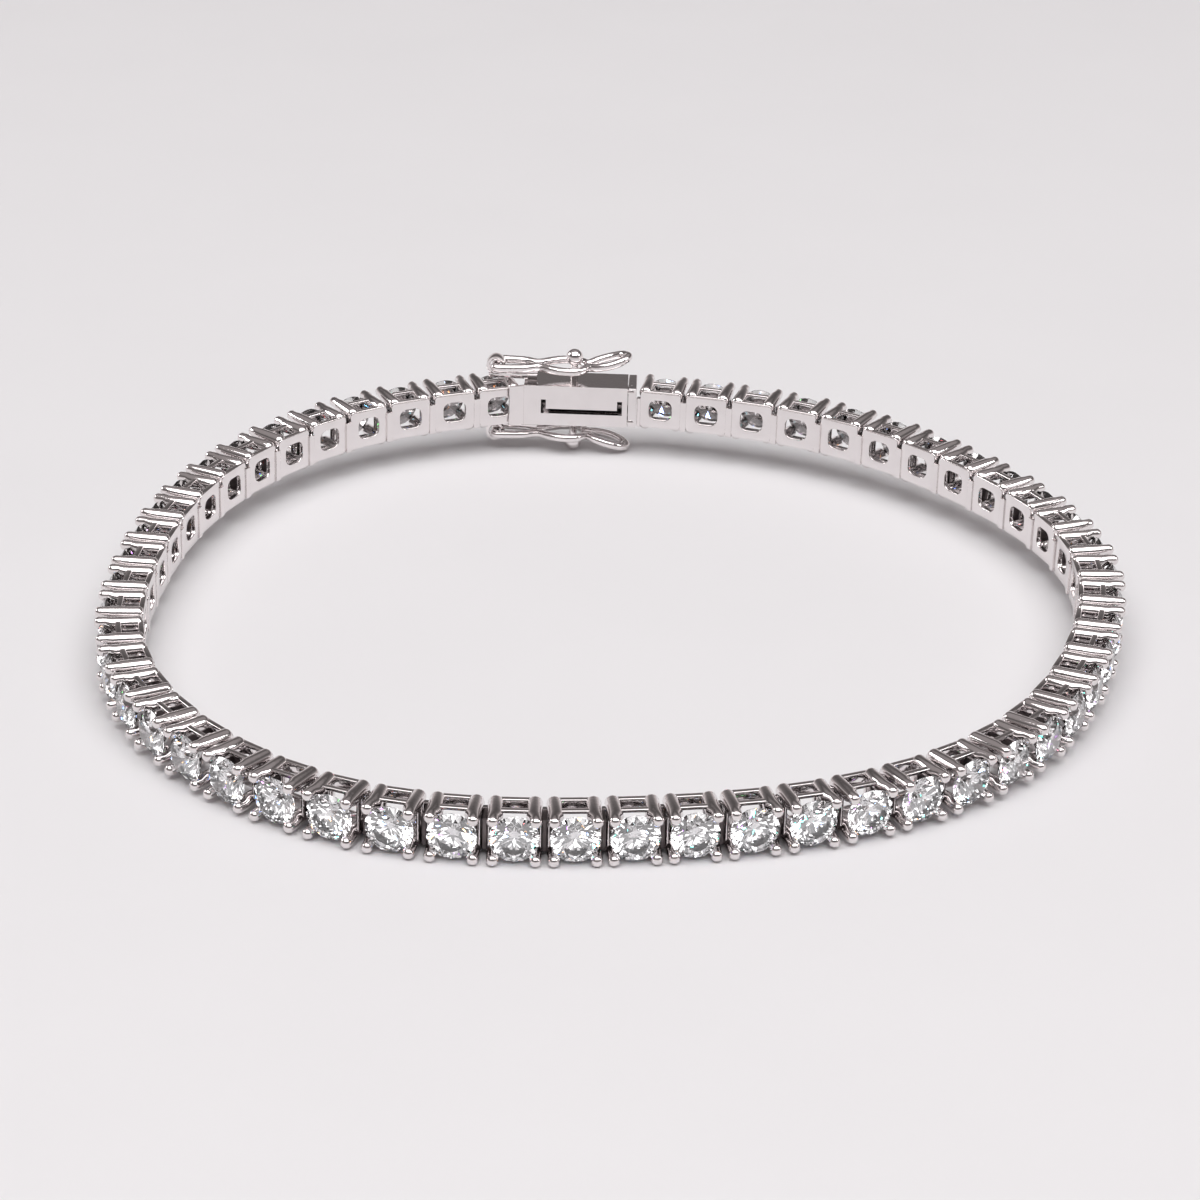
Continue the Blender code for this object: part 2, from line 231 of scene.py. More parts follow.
def standing(point, along, level=0.0):
    """Matrix with X along the row, Y outwards from its inner face, Z up from the links' lower edge."""
    along = np.array(along) / np.linalg.norm(along)
    place = Matrix.Identity(4)
    place.col[0] = (*along, 0, 0)
    place.col[1] = (-along[1], along[0], 0, 0)
    place.col[3] = (*point, lift_at(point[1]) + level, 1)
    return place


seats = [standing((a + b) / 2, b - a) for a, b in zip(joints, joints[1:])]
CLASP_L = float(np.linalg.norm(joints[0] - joints[-1]))
on_clasp = standing(joints[-1], joints[0] - joints[-1], LINK_H)
print(f"{len(seats)} links of {PITCH / MM} mm, clasp {CLASP_L / MM:.2f} mm between its joints")

# %% [markdown]
# ## The camera
# A long lens from a little above, as in product photographs of small jewellery. A long lens keeps the near
# and the far side of the loop close in size. The camera is placed by its position and three angles, and
# its own axes are worked out from them.

# %% camera
PICTURE, FOCAL_PX = 1200, 3500  # the picture's side and the focal length, both in pixels
camera_data = bpy.data.cameras.new("camera")
camera_data.sensor_width = 36.0
camera_data.lens = camera_data.sensor_width * FOCAL_PX / PICTURE
camera_data.clip_start = 10 * MM
camera = bpy.data.objects.new("camera", camera_data)
bpy.context.scene.collection.objects.link(camera)
CAMERA_AT = Vector((2.384, -195.877, 96.986)) * MM
YAW, DOWN, ROLL = (math.radians(a) for a in (-1.012, 25.867, 1.569))
ahead = Vector((math.sin(YAW) * math.cos(DOWN), math.cos(YAW) * math.cos(DOWN), -math.sin(DOWN)))
level = ahead.cross(Vector((0, 0, 1))).normalized()
upright = level.cross(ahead)
side = math.cos(ROLL) * level + math.sin(ROLL) * upright
over = math.cos(ROLL) * upright - math.sin(ROLL) * level
turn = Matrix((side, over, -ahead)).transposed()
camera.matrix_world = Matrix.Translation(CAMERA_AT) @ turn.to_4x4()
bpy.context.scene.camera = camera
print("camera stands", [round(v / MM, 1) for v in CAMERA_AT], "mm")

# %% [markdown]
# ## The finishes
# Polished white gold is a mirror: what it shows is the room, so its colour is plain and its roughness low,
# with fine rubbing marks only. A picture of scratches would do too, but noise in the shader follows any
# shape without unwrapping. The marks are one node group, so that each metal can set its own strength.


# %% polish marks, shared by the metals
def socket(group, name, kind, way, value=None):
    """Adds one named input or output to a node group."""
    made = group.interface.new_socket(name=name, in_out=way, socket_type=kind)
    if value is not None:
        made.default_value = value


def polish_group():
    """Colour, roughness and height of a polished surface: wide smudges and fine unevenness."""
    group = bpy.data.node_groups.new("polish_marks", "ShaderNodeTree")
    socket(group, "Metal", "NodeSocketColor", "INPUT", (0.84, 0.83, 0.84, 1))
    socket(group, "Smudge", "NodeSocketColor", "INPUT", (0.7, 0.68, 0.68, 1))
    socket(group, "Smooth", "NodeSocketFloat", "INPUT", 0.05)
    socket(group, "Worn", "NodeSocketFloat", "INPUT", 0.14)
    socket(group, "Color", "NodeSocketColor", "OUTPUT")
    socket(group, "Roughness", "NodeSocketFloat", "OUTPUT")
    socket(group, "Height", "NodeSocketFloat", "OUTPUT")
    nodes, links = group.nodes, group.links
    given, put = nodes.new("NodeGroupInput"), nodes.new("NodeGroupOutput")
    place = nodes.new("ShaderNodeTexCoord")
    cloud = nodes.new("ShaderNodeTexNoise")
    cloud.inputs["Scale"].default_value = 900
    cloud.inputs["Detail"].default_value = 3
    fine = nodes.new("ShaderNodeTexNoise")
    fine.inputs["Scale"].default_value = 5200
    fine.inputs["Detail"].default_value = 2
    for node in (cloud, fine):
        links.new(place.outputs["Object"], node.inputs["Vector"])
    spread = nodes.new("ShaderNodeMapRange")
    spread.inputs["From Min"].default_value = 0.38
    spread.inputs["From Max"].default_value = 0.72
    links.new(cloud.outputs["Fac"], spread.inputs["Value"])
    links.new(given.outputs["Smooth"], spread.inputs["To Min"])
    links.new(given.outputs["Worn"], spread.inputs["To Max"])
    mix = nodes.new("ShaderNodeMix")
    mix.data_type = "RGBA"
    links.new(cloud.outputs["Fac"], mix.inputs["Factor"])
    links.new(given.outputs["Metal"], mix.inputs["A"])
    links.new(given.outputs["Smudge"], mix.inputs["B"])
    links.new(mix.outputs["Result"], put.inputs["Color"])
    links.new(spread.outputs["Result"], put.inputs["Roughness"])
    links.new(fine.outputs["Fac"], put.inputs["Height"])
    return group


POLISH = polish_group()
RELIEF = 0.02 * MM  # how deep the unevenness looks at full strength


def metal(name, colour, smudge, smooth_at, worn_at, bump):
    """Polished metal: the shared marks feed colour, roughness and a slight unevenness."""
    made = bpy.data.materials.new(name)
    made.use_nodes = True
    nodes, links = made.node_tree.nodes, made.node_tree.links
    shader = nodes["Principled BSDF"]
    shader.inputs["Metallic"].default_value = 1.0
    marks = nodes.new("ShaderNodeGroup")
    marks.node_tree = POLISH
    marks.inputs["Metal"].default_value = (*colour, 1)
    marks.inputs["Smudge"].default_value = (*smudge, 1)
    marks.inputs["Smooth"].default_value = smooth_at
    marks.inputs["Worn"].default_value = worn_at
    relief = nodes.new("ShaderNodeBump")
    relief.inputs["Strength"].default_value = bump
    relief.inputs["Distance"].default_value = RELIEF
    links.new(marks.outputs["Color"], shader.inputs["Base Color"])
    links.new(marks.outputs["Roughness"], shader.inputs["Roughness"])
    links.new(marks.outputs["Height"], relief.inputs["Height"])
    links.new(relief.outputs["Normal"], shader.inputs["Normal"])
    return made


white_gold = metal(
    "white_gold", (0.86, 0.825, 0.825), (0.77, 0.73, 0.73), smooth_at=0.04, worn_at=0.12, bump=0.25,
)
# painted shade: a dark metal for the knuckles deep between the links, standing in for the shade in that gap
painted_shade_metal = metal(
    "painted_shade_metal", (0.2, 0.18, 0.18), (0.12, 0.1, 0.1), smooth_at=0.3, worn_at=0.5, bump=0.4,
)
spring_gold = metal(
    "spring_gold", (0.84, 0.805, 0.805), (0.74, 0.71, 0.71), smooth_at=0.05, worn_at=0.15, bump=0.3,
)
print("metals", [m.name for m in (white_gold, painted_shade_metal, spring_gold)])

# %% [markdown]
# A diamond bends light far more strongly than glass, so its index is set to 2.417. In a real stone the lower
# facets throw the light back, and some look bright and some dark. With one clear finish all over, they come
# out evenly bright here. Those facets get a second, dark-tinted finish: painted shade for some contrast.

# %% diamond
DIAMOND_IOR = 2.417
diamond = bpy.data.materials.new("diamond")
diamond.use_nodes = True
shader = diamond.node_tree.nodes["Principled BSDF"]
shader.inputs["Transmission Weight"].default_value = 1.0
shader.inputs["Roughness"].default_value = 0.0
shader.inputs["IOR"].default_value = DIAMOND_IOR
shader.inputs["Base Color"].default_value = (0.98, 0.98, 0.99, 1)
pavilion_painted_shade = diamond.copy()
pavilion_painted_shade.name = "diamond_painted_shade"
pavilion_painted_shade.node_tree.nodes["Principled BSDF"].inputs["Base Color"].default_value = (0.26, 0.23, 0.23, 1)
print("stones", [m.name for m in (diamond, pavilion_painted_shade)])

# %% [markdown]
# ## The stone
# A round brilliant has 57 facets. A cutter grinds them one by one, and so does this cell: it starts with
# a round blank and bisects it with a plane for each facet. Its points could also be typed in by hand, but
# the planes follow from a few proportions, so the cut is easy to change. Shares are of the stone's radius.

# %% the brilliant
STONE_R = 1.407 * MM
TABLE, CROWN, PAVILION, STAR, LOWER, GIRDLE_T = 0.56, 0.30, 0.86, 0.5, 0.78, 0.045
BLANK_SIDES, BLANK_H = 32, 3.0
GIRDLE_Y = 2.38 * MM
LOOKS_IN = -0.3  # a face whose normal points inwards by more than this is on the lower part
FACING_OUT = Matrix.Rotation(-math.pi / 2, 4, "X")  # turns a piece's top to the outside of the loop


def facet_planes():
    """Point and outward normal of each facet, for a stone of radius 1 with its girdle at height 0."""
    eighth = math.pi / 4
    half = eighth / 2

    def at(radius, angle, height):
        return Vector((radius * math.cos(angle), radius * math.sin(angle), height))

    top, bottom = GIRDLE_T / 2, -GIRDLE_T / 2
    crown_slope = CROWN / (1 - TABLE)
    table_edge = TABLE * math.cos(half)
    star_r = table_edge + STAR * (1 - table_edge)
    star_z = top + (1 - star_r * math.cos(half)) * crown_slope
    lower_r = 1 - LOWER
    lower_z = bottom - (1 - lower_r * math.cos(half)) * PAVILION
    table_z = top + CROWN
    planes = [(at(0, 0, table_z), Vector((0, 0, 1)))]
    for k in range(8):
        a = k * eighth
        planes.append((at(1, a, top), at(crown_slope, a, 1.0).normalized()))
        planes.append((at(1, a, bottom), at(PAVILION, a, -1.0).normalized()))
        slope = (table_z - star_z) / (star_r - table_edge)
        planes.append((at(table_edge, a + half, table_z), at(slope, a + half, 1.0).normalized()))
        for turned in (half, -half):
            ends = at(1, a, top), at(1, a + turned, top), at(star_r, a + turned, star_z)
            low = at(1, a, bottom), at(1, a + turned, bottom), at(lower_r, a + turned, lower_z)
            for p, q, r in (ends, low):
                normal = (q - p).cross(r - p).normalized()
                if normal.dot(p) < 0:
                    normal = -normal
                planes.append((p, normal))
    return planes


def cut_brilliant():
    """A blank of radius 1, cut by the plane of each facet."""
    bpy.ops.mesh.primitive_cylinder_add(vertices=BLANK_SIDES, radius=1.0, depth=BLANK_H, location=(0, 0, 0))
    stone = bpy.context.object
    stone.name = "brilliant"
    for point, normal in facet_planes():
        edit(stone)
        bpy.ops.mesh.select_all(action="SELECT")
        bpy.ops.mesh.bisect(
            plane_co=point, plane_no=normal, use_fill=True, clear_inner=False, clear_outer=True,
            threshold=1e-5,
        )
        done()
    outwards(stone)
    return stone


brilliant = cut_brilliant()
brilliant.data.transform(
    Matrix.Translation((0, GIRDLE_Y, LINK_H / 2)) @ FACING_OUT @ Matrix.Scale(STONE_R, 4)
)
brilliant.data.materials.append(diamond)
brilliant.data.materials.append(pavilion_painted_shade)
# the inward-facing lower facets take the dark-tinted finish, which is painted shade
for face in brilliant.data.polygons:
    face.material_index = 1 if face.normal.y < LOOKS_IN else 0
print("brilliant has", len(brilliant.data.polygons), "faces")

# %% [markdown]
# ## One setting
# A square plate with a rounded opening lets light in from behind. A boolean could cut the opening, but two
# rounded outlines, bridged and then extruded, give a cleaner mesh with few faces, and this piece is
# repeated 53 times. X runs along the row, Y outwards and Z up.

# %% the plate
JOINT_GAP = 0.38 * MM
PLATE_W, PLATE_H, PLATE_T = PITCH - JOINT_GAP, 2.7 * MM, 0.34 * MM
PLATE_CORNER, PLATE_SOFT = 0.3 * MM, 0.05 * MM
HOLE_W, HOLE_H, HOLE_R = 1.6 * MM, 1.4 * MM, 0.5 * MM


def rounded_outline(name, width, height, corner):
    """A flat plate outline in the XY plane with six points to a corner."""
    bpy.ops.mesh.primitive_plane_add(size=1, location=(0, 0, 0))
    made = bpy.context.object
    made.name = name
    made.scale = (width, height, 1)
    bake_place(made)
    edit(made, "VERT")
    bpy.ops.mesh.select_all(action="SELECT")
    bpy.ops.mesh.bevel(affect="VERTICES", offset=corner, segments=5, profile=0.5)
    bpy.ops.mesh.select_all(action="SELECT")
    bpy.ops.mesh.delete(type="ONLY_FACE")
    done()
    return made


def frame_ring(name, outer, hole, low_y, high_y, soft):
    """A ring standing in the XZ plane between two depths: two rounded outlines, bridged and extruded."""
    ring = joined(name, [rounded_outline(name, *outer), rounded_outline(name + "_hole", *hole)])
    edit(ring, "EDGE")
    bpy.ops.mesh.select_all(action="SELECT")
    bpy.ops.mesh.bridge_edge_loops()
    bpy.ops.mesh.select_mode(type="FACE")
    bpy.ops.mesh.select_all(action="SELECT")
    bpy.ops.mesh.extrude_region_move(TRANSFORM_OT_translate={"value": (0, 0, high_y - low_y)})
    done()
    outwards(ring)
    ring.data.transform(Matrix.Translation((0, low_y, LINK_H / 2)) @ FACING_OUT)
    return rounded(ring, soft, angle=50)


plate = frame_ring(
    "plate", (PLATE_W, PLATE_H, PLATE_CORNER), (HOLE_W, HOLE_H, HOLE_R), 0, PLATE_T, PLATE_SOFT,
)
print("plate", len(plate.data.polygons), "faces")

# %% [markdown]
# The gallery rail is a thin square ring halfway up the prongs. It ties them together under the stone, and
# from above it shows as a bright bar along each link. It is the same kind of ring as the plate.

# %% the gallery rail
GALLERY_W, GALLERY_H, GALLERY_CORNER = 2.96 * MM, 2.84 * MM, 0.3 * MM
GALLERY_HOLE_W, GALLERY_HOLE_H, GALLERY_HOLE_R = GALLERY_W - 0.3 * MM, GALLERY_H - 0.42 * MM, 0.15 * MM
GALLERY_LOW, GALLERY_HIGH, GALLERY_SOFT = 1.35 * MM, 1.7 * MM, 0.045 * MM
gallery = frame_ring(
    "gallery", (GALLERY_W, GALLERY_H, GALLERY_CORNER), (GALLERY_HOLE_W, GALLERY_HOLE_H, GALLERY_HOLE_R),
    GALLERY_LOW, GALLERY_HIGH, GALLERY_SOFT,
)
print("gallery", len(gallery.data.polygons), "faces")

# %% [markdown]
# Four prongs stand on the plate's corners and hold the stone by its edge. Each starts as a round bar. Its end
# face is extruded and drawn in where the stone is seated, extruded again, and bevelled into a dome. The
# outer side stays straight, so the slimmer tip's middle moves outwards.

# %% the prongs
PRONG_OUT_X, PRONG_OUT_Z, PRONG_REACH = 1.53 * MM, 1.56 * MM, 2.95 * MM  # its outer sides and its tip
BAR_R, TIP_R, SEAT_Y, SHOULDER = 0.45 * MM, 0.345 * MM, 1.9 * MM, 0.35 * MM
PRONG_START, PRONG_SIDES, DOME_SHARE, DOME_STEPS = 0.01 * MM, 16, 0.9, 4


def make_prong(side_x, side_z):
    """A round bar that narrows where the stone is seated, with a domed tip. Its outer side stays straight."""
    def centre(radius):
        return side_x * (PRONG_OUT_X - radius), LINK_H / 2 + side_z * (PRONG_OUT_Z - radius)

    x, z = centre(BAR_R)
    prong = rod("prong", (x, PRONG_START, z), (x, SEAT_Y, z), BAR_R, sides=PRONG_SIDES)
    edit(prong)
    done()
    front = max(prong.data.polygons, key=lambda face: face.center.y)
    front.select = True
    edit_again()
    tip_x, tip_z = centre(TIP_R)
    bpy.ops.mesh.extrude_region_move(
        TRANSFORM_OT_translate={"value": (tip_x - x, SHOULDER, tip_z - z)},
    )
    share = TIP_R / BAR_R
    bpy.ops.transform.resize(value=(share, 1, share))
    bpy.ops.mesh.extrude_region_move(
        TRANSFORM_OT_translate={"value": (0, PRONG_REACH - SEAT_Y - SHOULDER, 0)},
    )
    done()
    return rounded(prong, TIP_R * DOME_SHARE, DOME_STEPS, angle=60)


prongs = [make_prong(x, z) for x in (-1, 1) for z in (-1, 1)]
setting = joined("setting", [plate, gallery] + prongs)
smooth(setting, angle=45)
setting.data.materials.append(white_gold)
link = joined("link", [setting, brilliant])
print("one link has", len(link.data.polygons), "faces, finishes", [m.name for m in link.data.materials])

# %% [markdown]
# ## The two strands
# The row is one setting repeated. An array on a curve could lay it, but towards the back each link stands a
# little higher than the last, so each copy gets its own mesh, moved to its seat. A little bridge joins
# neighbouring plates where the real links turn, and then each half of the row becomes one object.

# %% lay the links
BRIDGE_IN, BRIDGE_LOW, BRIDGE_TOP = 0.01 * MM, 0.16 * MM, LINK_H * 0.74
BRIDGE_BITE, BRIDGE_SOFT = 0.02 * MM, 0.03 * MM
KNUCKLE_LOW, KNUCKLE_TOP, KNUCKLE_OUT = 0.3 * MM, LINK_H * 0.72, 1.5 * MM
KNUCKLE_SHARE, KNUCKLE_SOFT = 0.7, 0.04 * MM
START_LEFT, START_RIGHT = -0.06 * MM, 0.21 * MM  # the half bridge before the first link


def hinge_at(point, along):
    """The bridge between two plates and the knuckle behind it, coloured dark as painted shade for the deep
    gap.
    """
    half = JOINT_GAP / 2
    over = half + BRIDGE_BITE
    bridge = slab("bridge", (-over, BRIDGE_IN, BRIDGE_LOW), (over, PLATE_T, BRIDGE_TOP), BRIDGE_SOFT)
    bridge.data.materials.append(white_gold)
    narrow = half * KNUCKLE_SHARE
    knuckle = slab(
        "knuckle", (-narrow, PLATE_T / 2, KNUCKLE_LOW), (narrow, KNUCKLE_OUT, KNUCKLE_TOP), KNUCKLE_SOFT,
    )
    # the knuckle's dark colour is painted shade for the deep gap between neighbouring links
    knuckle.data.materials.append(painted_shade_metal)
    for piece in (bridge, knuckle):
        piece.data.transform(standing(point, along))
    return [bridge, knuckle]


def lay_strand(name, places, node, then=None):
    """All the links of one strand. Given the next strand's first seat, it starts the row and bridges on."""
    copies = [copied(link, place, f"{name}_{i}") for i, place in enumerate(places)]
    row = places + ([then] if then else [])
    for before, after in zip(row, row[1:]):
        middle = (before.translation + after.translation) / 2
        copies += hinge_at(middle.xy, (before.col[0].xyz + after.col[0].xyz).xy)
    if then:
        start = slab(
            "start", (START_LEFT, BRIDGE_IN, BRIDGE_LOW), (START_RIGHT, PLATE_T, BRIDGE_TOP), BRIDGE_SOFT,
        )
        start.data.materials.append(white_gold)
        start.data.transform(standing(joints[0], places[0].col[0].xy))
        copies.append(start)
    strand = joined(name, copies)
    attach(strand, "bracelet")
    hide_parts(node)
    print(name, len(strand.data.polygons), "faces")


lay_strand("strand_of_stones_right", seats[:LINKS_RIGHT], "strand_right", seats[LINKS_RIGHT])
lay_strand("strand_of_stones_left", seats[LINKS_RIGHT:], "strand_left")
bpy.data.objects.remove(link)

# %% [markdown]
# ## The box clasp
# A hollow box with a U-shaped cut in its inner wall, open at its right end for the spring tongue. The hollow
# and the cut are made with booleans, one simple block at a time, and the edges are rounded last, so that the
# cut's own edges are rounded too. X runs from the left joint, and Z up from the links' upper edge.

# %% the case
BOX_WALL, END_T, COVER_L, COVER_T = 0.32 * MM, 0.5 * MM, 1.0 * MM, 0.2 * MM
SLOT_LEFT, SLOT_RIGHT, SLOT_TOP, SLOT_RUN, SLOT_W = (v * MM for v in (1.35, 0.42, 1.0, 1.85, 0.34))
SEAM, EDGE_SOFT = 0.04 * MM, 0.06 * MM
box_left, box_right = END_GAP, CLASP_L - END_T - 2 * END_GAP
case_right = CLASP_L - END_T - END_GAP - SEAM


def cut_away(obj, cutter):
    """Takes the cutter's shape out of obj."""
    modifier = obj.modifiers.new("cut", "BOOLEAN")
    modifier.operation = "DIFFERENCE"
    modifier.solver = "EXACT"
    modifier.object = cutter
    apply_all(obj)
    bpy.data.objects.remove(cutter)
    return obj


case = slab("case", (box_left, BOX_IN, -BOX_H), (case_right, BOX_OUT, 0))
cut_away(case, slab(
    "hollow", (box_left + BOX_WALL, BOX_IN + BOX_WALL, -BOX_H + BOX_WALL),
    (case_right + BOX_WALL, BOX_OUT - BOX_WALL, -BOX_WALL),
))
slot_left, slot_right, half = box_left + SLOT_LEFT, box_right - SLOT_RIGHT, SLOT_W / 2
slot_in, slot_out = BOX_IN - BOX_WALL, BOX_IN + 1.5 * BOX_WALL  # the cutters pass through the whole wall
slot_bottom, run_top = -SLOT_RUN - half, -SLOT_RUN + half
for left, right, top in (
    (slot_left - half, slot_right + half, run_top),
    (slot_left - half, slot_left + half, -SLOT_TOP),
    (slot_right - half, slot_right + half, -SLOT_TOP),
):
    cut_away(case, slab("slot", (left, slot_in, slot_bottom), (right, slot_out, top)))
rounded(case, EDGE_SOFT, segments=3, angle=50)
print("case", len(case.data.polygons), "faces")

# %% [markdown]
# Above and below the box stand a post with a ball, over which the catch snaps, and a barrel in which it
# turns. The barrel is a rod with a bore through it, and three small blocks carry it: a foot on the box, a lug
# from there to the barrel, and a saddle under both. One function makes them for either side, mirrored.

# %% what stands on the case
WIRE_R, LATCH_L, LATCH_W, LATCH_RISE, LATCH_Z, AXIS_X = (v * MM for v in (0.29, 9.1, 1.66, 0.84, 1.02, 1.85))
BORE_R, BARREL_R, BARREL_L, BARREL_SOFT = 0.42 * MM, 0.66 * MM, 0.76 * MM, 0.04 * MM
POST_R, BALL_R, BALL_Z = 0.27 * MM, 0.59 * MM, 1.68 * MM
POST_SHARE, LUG_SHARE = 0.593, 0.94  # the post along the catch, the lug along the barrel's radius
POST_X = POST_SHARE * LATCH_L - AXIS_X
ROUND_SIDES, POST_SIDES, BALL_SIDES, BALL_RINGS = 32, 20, 28, 18
MIDDLE_Y = (BOX_IN + BOX_OUT) / 2
LUG_Z = LATCH_Z - BARREL_R * LUG_SHARE  # lug's inner side over the box
LUG_T, LUG_RIGHT, LUG_SOFT = 0.3 * MM, box_left + 0.9 * MM, 0.05 * MM
FOOT_LEFT, FOOT_RIGHT, FOOT_IN, FOOT_SOFT = box_left + 0.06 * MM, box_left + 0.84 * MM, 0.05 * MM, 0.04 * MM
SADDLE_LEFT, SADDLE_RIGHT, SADDLE_Z = -AXIS_X - 0.5 * MM, box_left + 0.2 * MM, 0.07 * MM
BITE_FOOT, BITE_SADDLE = 0.15 * MM, 0.1 * MM  # how far each reaches into the lug
lug_wide = BARREL_L / 2 - 0.06 * MM


def catch_stand(level_z, side_z):
    """Post, ball, barrel, lug, foot and saddle of one catch. Side is 1 above the box and -1 below it."""
    def over_box(height):
        return level_z + side_z * height

    def across(y, z, x=-AXIS_X):
        return x, MIDDLE_Y + y, z

    def carrier(name, left, right, wide, inner, outer, soft):
        low, high = sorted((over_box(inner), over_box(outer)))
        return slab(name, across(-wide, low, left), across(wide, high, right), soft)

    ball_at, axle_z = across(0, over_box(BALL_Z), POST_X), over_box(LATCH_Z)
    post = rod("post", across(0, over_box(-BOX_WALL / 2), POST_X), ball_at, POST_R, POST_SIDES)
    bpy.ops.mesh.primitive_uv_sphere_add(
        segments=BALL_SIDES, ring_count=BALL_RINGS, radius=BALL_R, location=ball_at,
    )
    ball = bake_place(bpy.context.object)
    barrel = rod(
        "barrel", across(-BARREL_L / 2, axle_z), across(BARREL_L / 2, axle_z), BARREL_R, ROUND_SIDES,
    )
    cut_away(barrel, rod(
        "bore", across(-BARREL_L, axle_z), across(BARREL_L, axle_z), BORE_R, ROUND_SIDES,
    ))
    rounded(barrel, BARREL_SOFT, angle=50)
    lug_left = -AXIS_X + (BORE_R + BARREL_R) / 2
    lug = carrier("lug", lug_left, LUG_RIGHT, lug_wide, LUG_Z, LUG_Z + LUG_T, LUG_SOFT)
    foot = carrier(
        "foot", FOOT_LEFT, FOOT_RIGHT, lug_wide - FOOT_IN, -BOX_WALL / 2, LUG_Z + BITE_FOOT, FOOT_SOFT,
    )
    saddle = carrier(
        "saddle", SADDLE_LEFT, SADDLE_RIGHT, lug_wide, SADDLE_Z, LUG_Z + BITE_SADDLE, LUG_SOFT,
    )
    return [post, ball, barrel, lug, foot, saddle]


parts = [case] + catch_stand(0, 1) + catch_stand(-BOX_H, -1)
for part in parts:
    part.data.transform(on_clasp)
cover = slab(
    "cover", (PITCH / 2 - COVER_L, BOX_IN, LINK_H - BOX_H),
    (PITCH / 2 + END_GAP + BOX_WALL, BOX_IN + COVER_T, LINK_H), EDGE_SOFT,
)
cover.data.transform(seats[-1])
parts.append(cover)
clasp_case = smooth(joined("clasp_case", parts))
clasp_case.data.materials.clear()
clasp_case.data.materials.append(white_gold)
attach(clasp_case, "bracelet")
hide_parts("clasp_box")
print("clasp case", len(clasp_case.data.polygons), "faces")

# %% [markdown]
# The tongue is a strip of springy metal, folded once, on an end piece that closes the box. It slides into the
# box and spreads there. It is built from blocks that overlap at the fold, since little of it shows: its end
# piece with two round stubs, and some of the leaf through the U-shaped cut.

# %% the tongue
TONGUE_T, TONGUE_GAP, TONGUE_FOLD, TONGUE_SHORT = (v * MM for v in (0.3, 0.2, 0.4, 1.2))
LEAF_SOFT, FOLD_SOFT = 0.04 * MM, 0.12 * MM
STUB_R, STUB_IN, STUB_OUT, STUB_SOFT = 0.34 * MM, BOX_IN - 0.06 * MM, 0.6 * MM, 0.28 * MM
STUB_BACK, STUB_DOWN, STUB_SIDES = 0.28 * MM, 0.33 * MM, 16
END_SEAM = 0.08 * MM
inset = BOX_WALL + TONGUE_GAP
leaf_in, leaf_out = BOX_IN + inset, BOX_OUT - inset
leaf_low, leaf_high = -BOX_H + inset, -inset
fold_x, end_x = END_GAP + BOX_WALL + TONGUE_FOLD, CLASP_L - END_T - END_GAP
stub_x, stub_z = CLASP_L - END_GAP - STUB_BACK, -STUB_DOWN
pieces = []
for z in (stub_z, -BOX_H - stub_z):
    stub = rod("stub", (stub_x, STUB_IN, z), (stub_x, STUB_OUT, z), STUB_R, STUB_SIDES)
    pieces.append(rounded(stub, STUB_SOFT, segments=4, angle=60))
for name, low, high, soft, steps in (
    ("end_piece", (end_x, BOX_IN, -BOX_H), (CLASP_L - END_SEAM, BOX_OUT, 0), EDGE_SOFT, 3),
    ("lower_leaf", (fold_x, leaf_in, leaf_low), (end_x + TONGUE_T / 2, leaf_out, leaf_low + TONGUE_T),
     LEAF_SOFT, 2),
    ("fold", (fold_x - TONGUE_T / 2, leaf_in, leaf_low), (fold_x + TONGUE_T / 2, leaf_out, leaf_high),
     FOLD_SOFT, 3),
    ("upper_leaf", (fold_x, leaf_in, leaf_high - TONGUE_T), (end_x - TONGUE_SHORT, leaf_out, leaf_high),
     LEAF_SOFT, 2),
):
    pieces.append(slab(name, low, high, soft, steps))
for piece in pieces:
    piece.data.transform(on_clasp)
tongue = smooth(joined("spring_tongue", pieces))
tongue.data.materials.append(spring_gold)
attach(tongue, "bracelet")
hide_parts("clasp_tongue")
print("tongue", len(tongue.data.polygons), "faces")

# %% [markdown]
# ## The safety catches
# Each catch is one closed loop of round wire, pinched twice into a figure eight, with its tip bent up so
# that a nail can lift it. A curve with a round bevel gives the wire, because wire keeps its thickness all
# along. Half of the line is listed, and mirrored for the other side. Its first points run straight
# across, since the wire is the axle that turns in the barrel there.

# %% catches
LATCH_HALF = [  # shares of the catch's length, of half its width and of its tip's rise
    (0.0, 0.5, 0.0), (0.0, 1.0, 0.0), (0.1, 1.0, 0.0), (0.22, 0.86, 0.0), (0.32, 0.48, 0.0),
    (0.42, 1.02, 0.0), (0.51, 1.36, 0.0), (0.605, 1.32, 0.0), (0.66, 0.9, 0.02), (0.7, 0.48, 0.08),
    (0.77, 0.86, 0.26), (0.87, 1.02, 0.55), (0.955, 0.74, 0.85), (1.0, 0.0, 1.0),
]
LOOP_STEPS, WIRE_ROUND = 8, 4


def closed_loop(points, steps):
    """Catmull-Rom line through a closed loop of points."""
    points = np.array(points)
    made = []
    for i in range(len(points)):
        p0, p1, p2, p3 = (points[(i + k) % len(points)] for k in (-1, 0, 1, 2))
        for t in np.arange(steps) / steps:
            made.append(0.5 * (
                2 * p1 + (p2 - p0) * t + (2 * p0 - 5 * p1 + 4 * p2 - p3) * t**2
                + (3 * p1 - p0 - 3 * p2 + p3) * t**3
            ))
    return made


